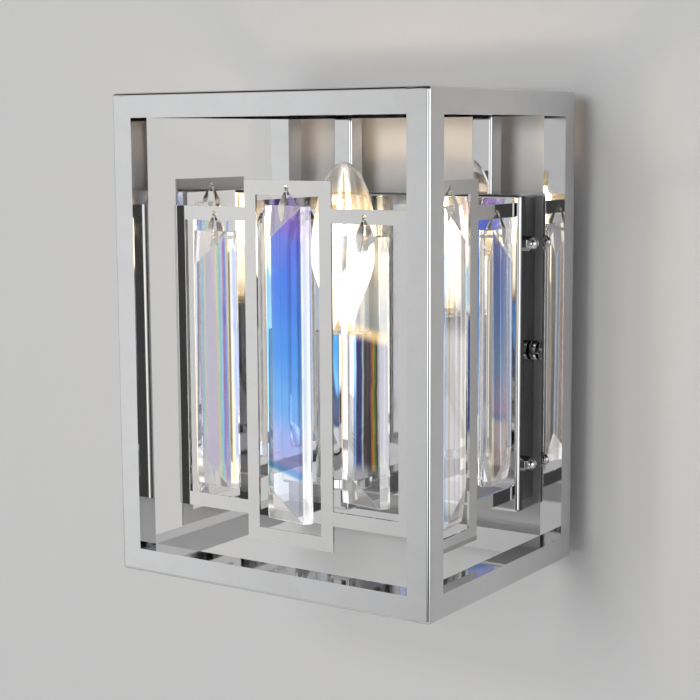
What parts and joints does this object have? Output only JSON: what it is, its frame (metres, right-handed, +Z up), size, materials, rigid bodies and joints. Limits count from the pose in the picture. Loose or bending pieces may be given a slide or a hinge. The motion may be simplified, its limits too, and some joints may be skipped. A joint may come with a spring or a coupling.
{
  "type": "wall sconce",
  "caption": "Chrome box-frame wall sconce with a cut-sheet cage of hanging bevelled crystals around one candle lamp.",
  "frame": {"origin": "centre of the wall bracket's back face, on the wall plane", "axes": "+X to the right, -Y out of the wall towards the room, +Z up"},
  "size_m": [0.19, 0.16, 0.25],
  "materials": {
    "frame_chrome": "polished",
    "sheet_chrome": "mirror polished sheet",
    "fastener_chrome": "polished",
    "hanger_chrome": "polished wire and strip",
    "zinc_steel": "zinc plated",
    "brass": "plain",
    "holder_plastic": "moulded",
    "terminal_plastic": "moulded",
    "lead_insulation": "woven sleeving",
    "bulb_glass": "clear",
    "bulb_cap": "bright",
    "filament": "lit",
    "crystal": "polished cut crystal with a rainbow coating"
  },
  "bodies": {
    "fixture": {"frame_post_front_left": "frame_chrome", "frame_post_front_right": "frame_chrome", "frame_post_rear_left": "frame_chrome", "frame_post_rear_right": "frame_chrome", "frame_rail_top_front": "frame_chrome", "frame_rail_top_rear": "frame_chrome", "frame_rail_top_left": "frame_chrome", "frame_rail_top_right": "frame_chrome", "frame_rail_bottom_front": "frame_chrome", "frame_rail_bottom_rear": "frame_chrome", "frame_rail_bottom_left": "frame_chrome", "frame_rail_bottom_right": "frame_chrome", "stanchion_left": "frame_chrome", "stanchion_right": "frame_chrome", "canopy": "frame_chrome", "lamp_arm": "frame_chrome", "lamp_base": "frame_chrome", "lamp_sleeve": "frame_chrome", "cage_front": "sheet_chrome", "cage_left": "sheet_chrome", "cage_right": "sheet_chrome", "stanchion_screws": "zinc_steel", "wall_bracket": "zinc_steel", "cage_screws": "zinc_steel", "cage_spacers": "zinc_steel", "lamp_arm_screws": "zinc_steel", "lamp_nipple": "zinc_steel", "lamp_nut": "zinc_steel", "domed_nuts": "fastener_chrome", "canopy_thumbscrews": "fastener_chrome", "earth_screw": "brass", "lamp_tongue": "brass", "lamp_shell": "brass", "lamp_holder": "holder_plastic", "terminal_block": "terminal_plastic", "lamp_leads": "lead_insulation"},
    "bulb": {"bulb_glass": "bulb_glass", "bulb_cap": "bulb_cap", "bulb_filament": "filament"},
    "pendant_front_left": {"crystal_front_left": "crystal", "bail_front_left": "hanger_chrome"},
    "pendant_front_middle": {"crystal_front_middle": "crystal", "bail_front_middle": "hanger_chrome"},
    "pendant_front_right": {"crystal_front_right": "crystal", "bail_front_right": "hanger_chrome"},
    "pendant_left_tall": {"crystal_left_tall": "crystal", "bail_left_tall": "hanger_chrome"},
    "pendant_left_small": {"crystal_left_small": "crystal", "bail_left_small": "hanger_chrome"},
    "pendant_right_tall": {"crystal_right_tall": "crystal", "bail_right_tall": "hanger_chrome"},
    "pendant_right_small": {"crystal_right_small": "crystal", "bail_right_small": "hanger_chrome"}
  },
  "joints": [
    {"name": "bulb_removal", "type": "slide", "parent": "fixture", "child": "bulb", "axis": [0, 0, 1], "range_m": [0, 0.026]},
    {"name": "swing_front_left", "type": "hinge", "parent": "fixture", "child": "pendant_front_left", "pos_m": [-0.0457, -0.13865, 0.07652], "axis": [1, 0, 0], "range_deg": [-8, 5]},
    {"name": "swing_front_middle", "type": "hinge", "parent": "fixture", "child": "pendant_front_middle", "pos_m": [0, -0.13865, 0.09002], "axis": [1, 0, 0], "range_deg": [-8, 5]},
    {"name": "swing_front_right", "type": "hinge", "parent": "fixture", "child": "pendant_front_right", "pos_m": [0.0457, -0.13865, 0.07652], "axis": [1, 0, 0], "range_deg": [-8, 5]},
    {"name": "swing_left_tall", "type": "hinge", "parent": "fixture", "child": "pendant_left_tall", "pos_m": [-0.07365, -0.10665, 0.09002], "axis": [0, -1, 0], "range_deg": [-8, 5]},
    {"name": "swing_left_small", "type": "hinge", "parent": "fixture", "child": "pendant_left_small", "pos_m": [-0.07365, -0.05797, 0.07652], "axis": [0, -1, 0], "range_deg": [-8, 5]},
    {"name": "swing_right_tall", "type": "hinge", "parent": "fixture", "child": "pendant_right_tall", "pos_m": [0.07365, -0.10665, 0.09002], "axis": [0, 1, 0], "range_deg": [-8, 5]},
    {"name": "swing_right_small", "type": "hinge", "parent": "fixture", "child": "pendant_right_small", "pos_m": [0.07365, -0.05797, 0.07652], "axis": [0, 1, 0], "range_deg": [-8, 5]}
  ]
}
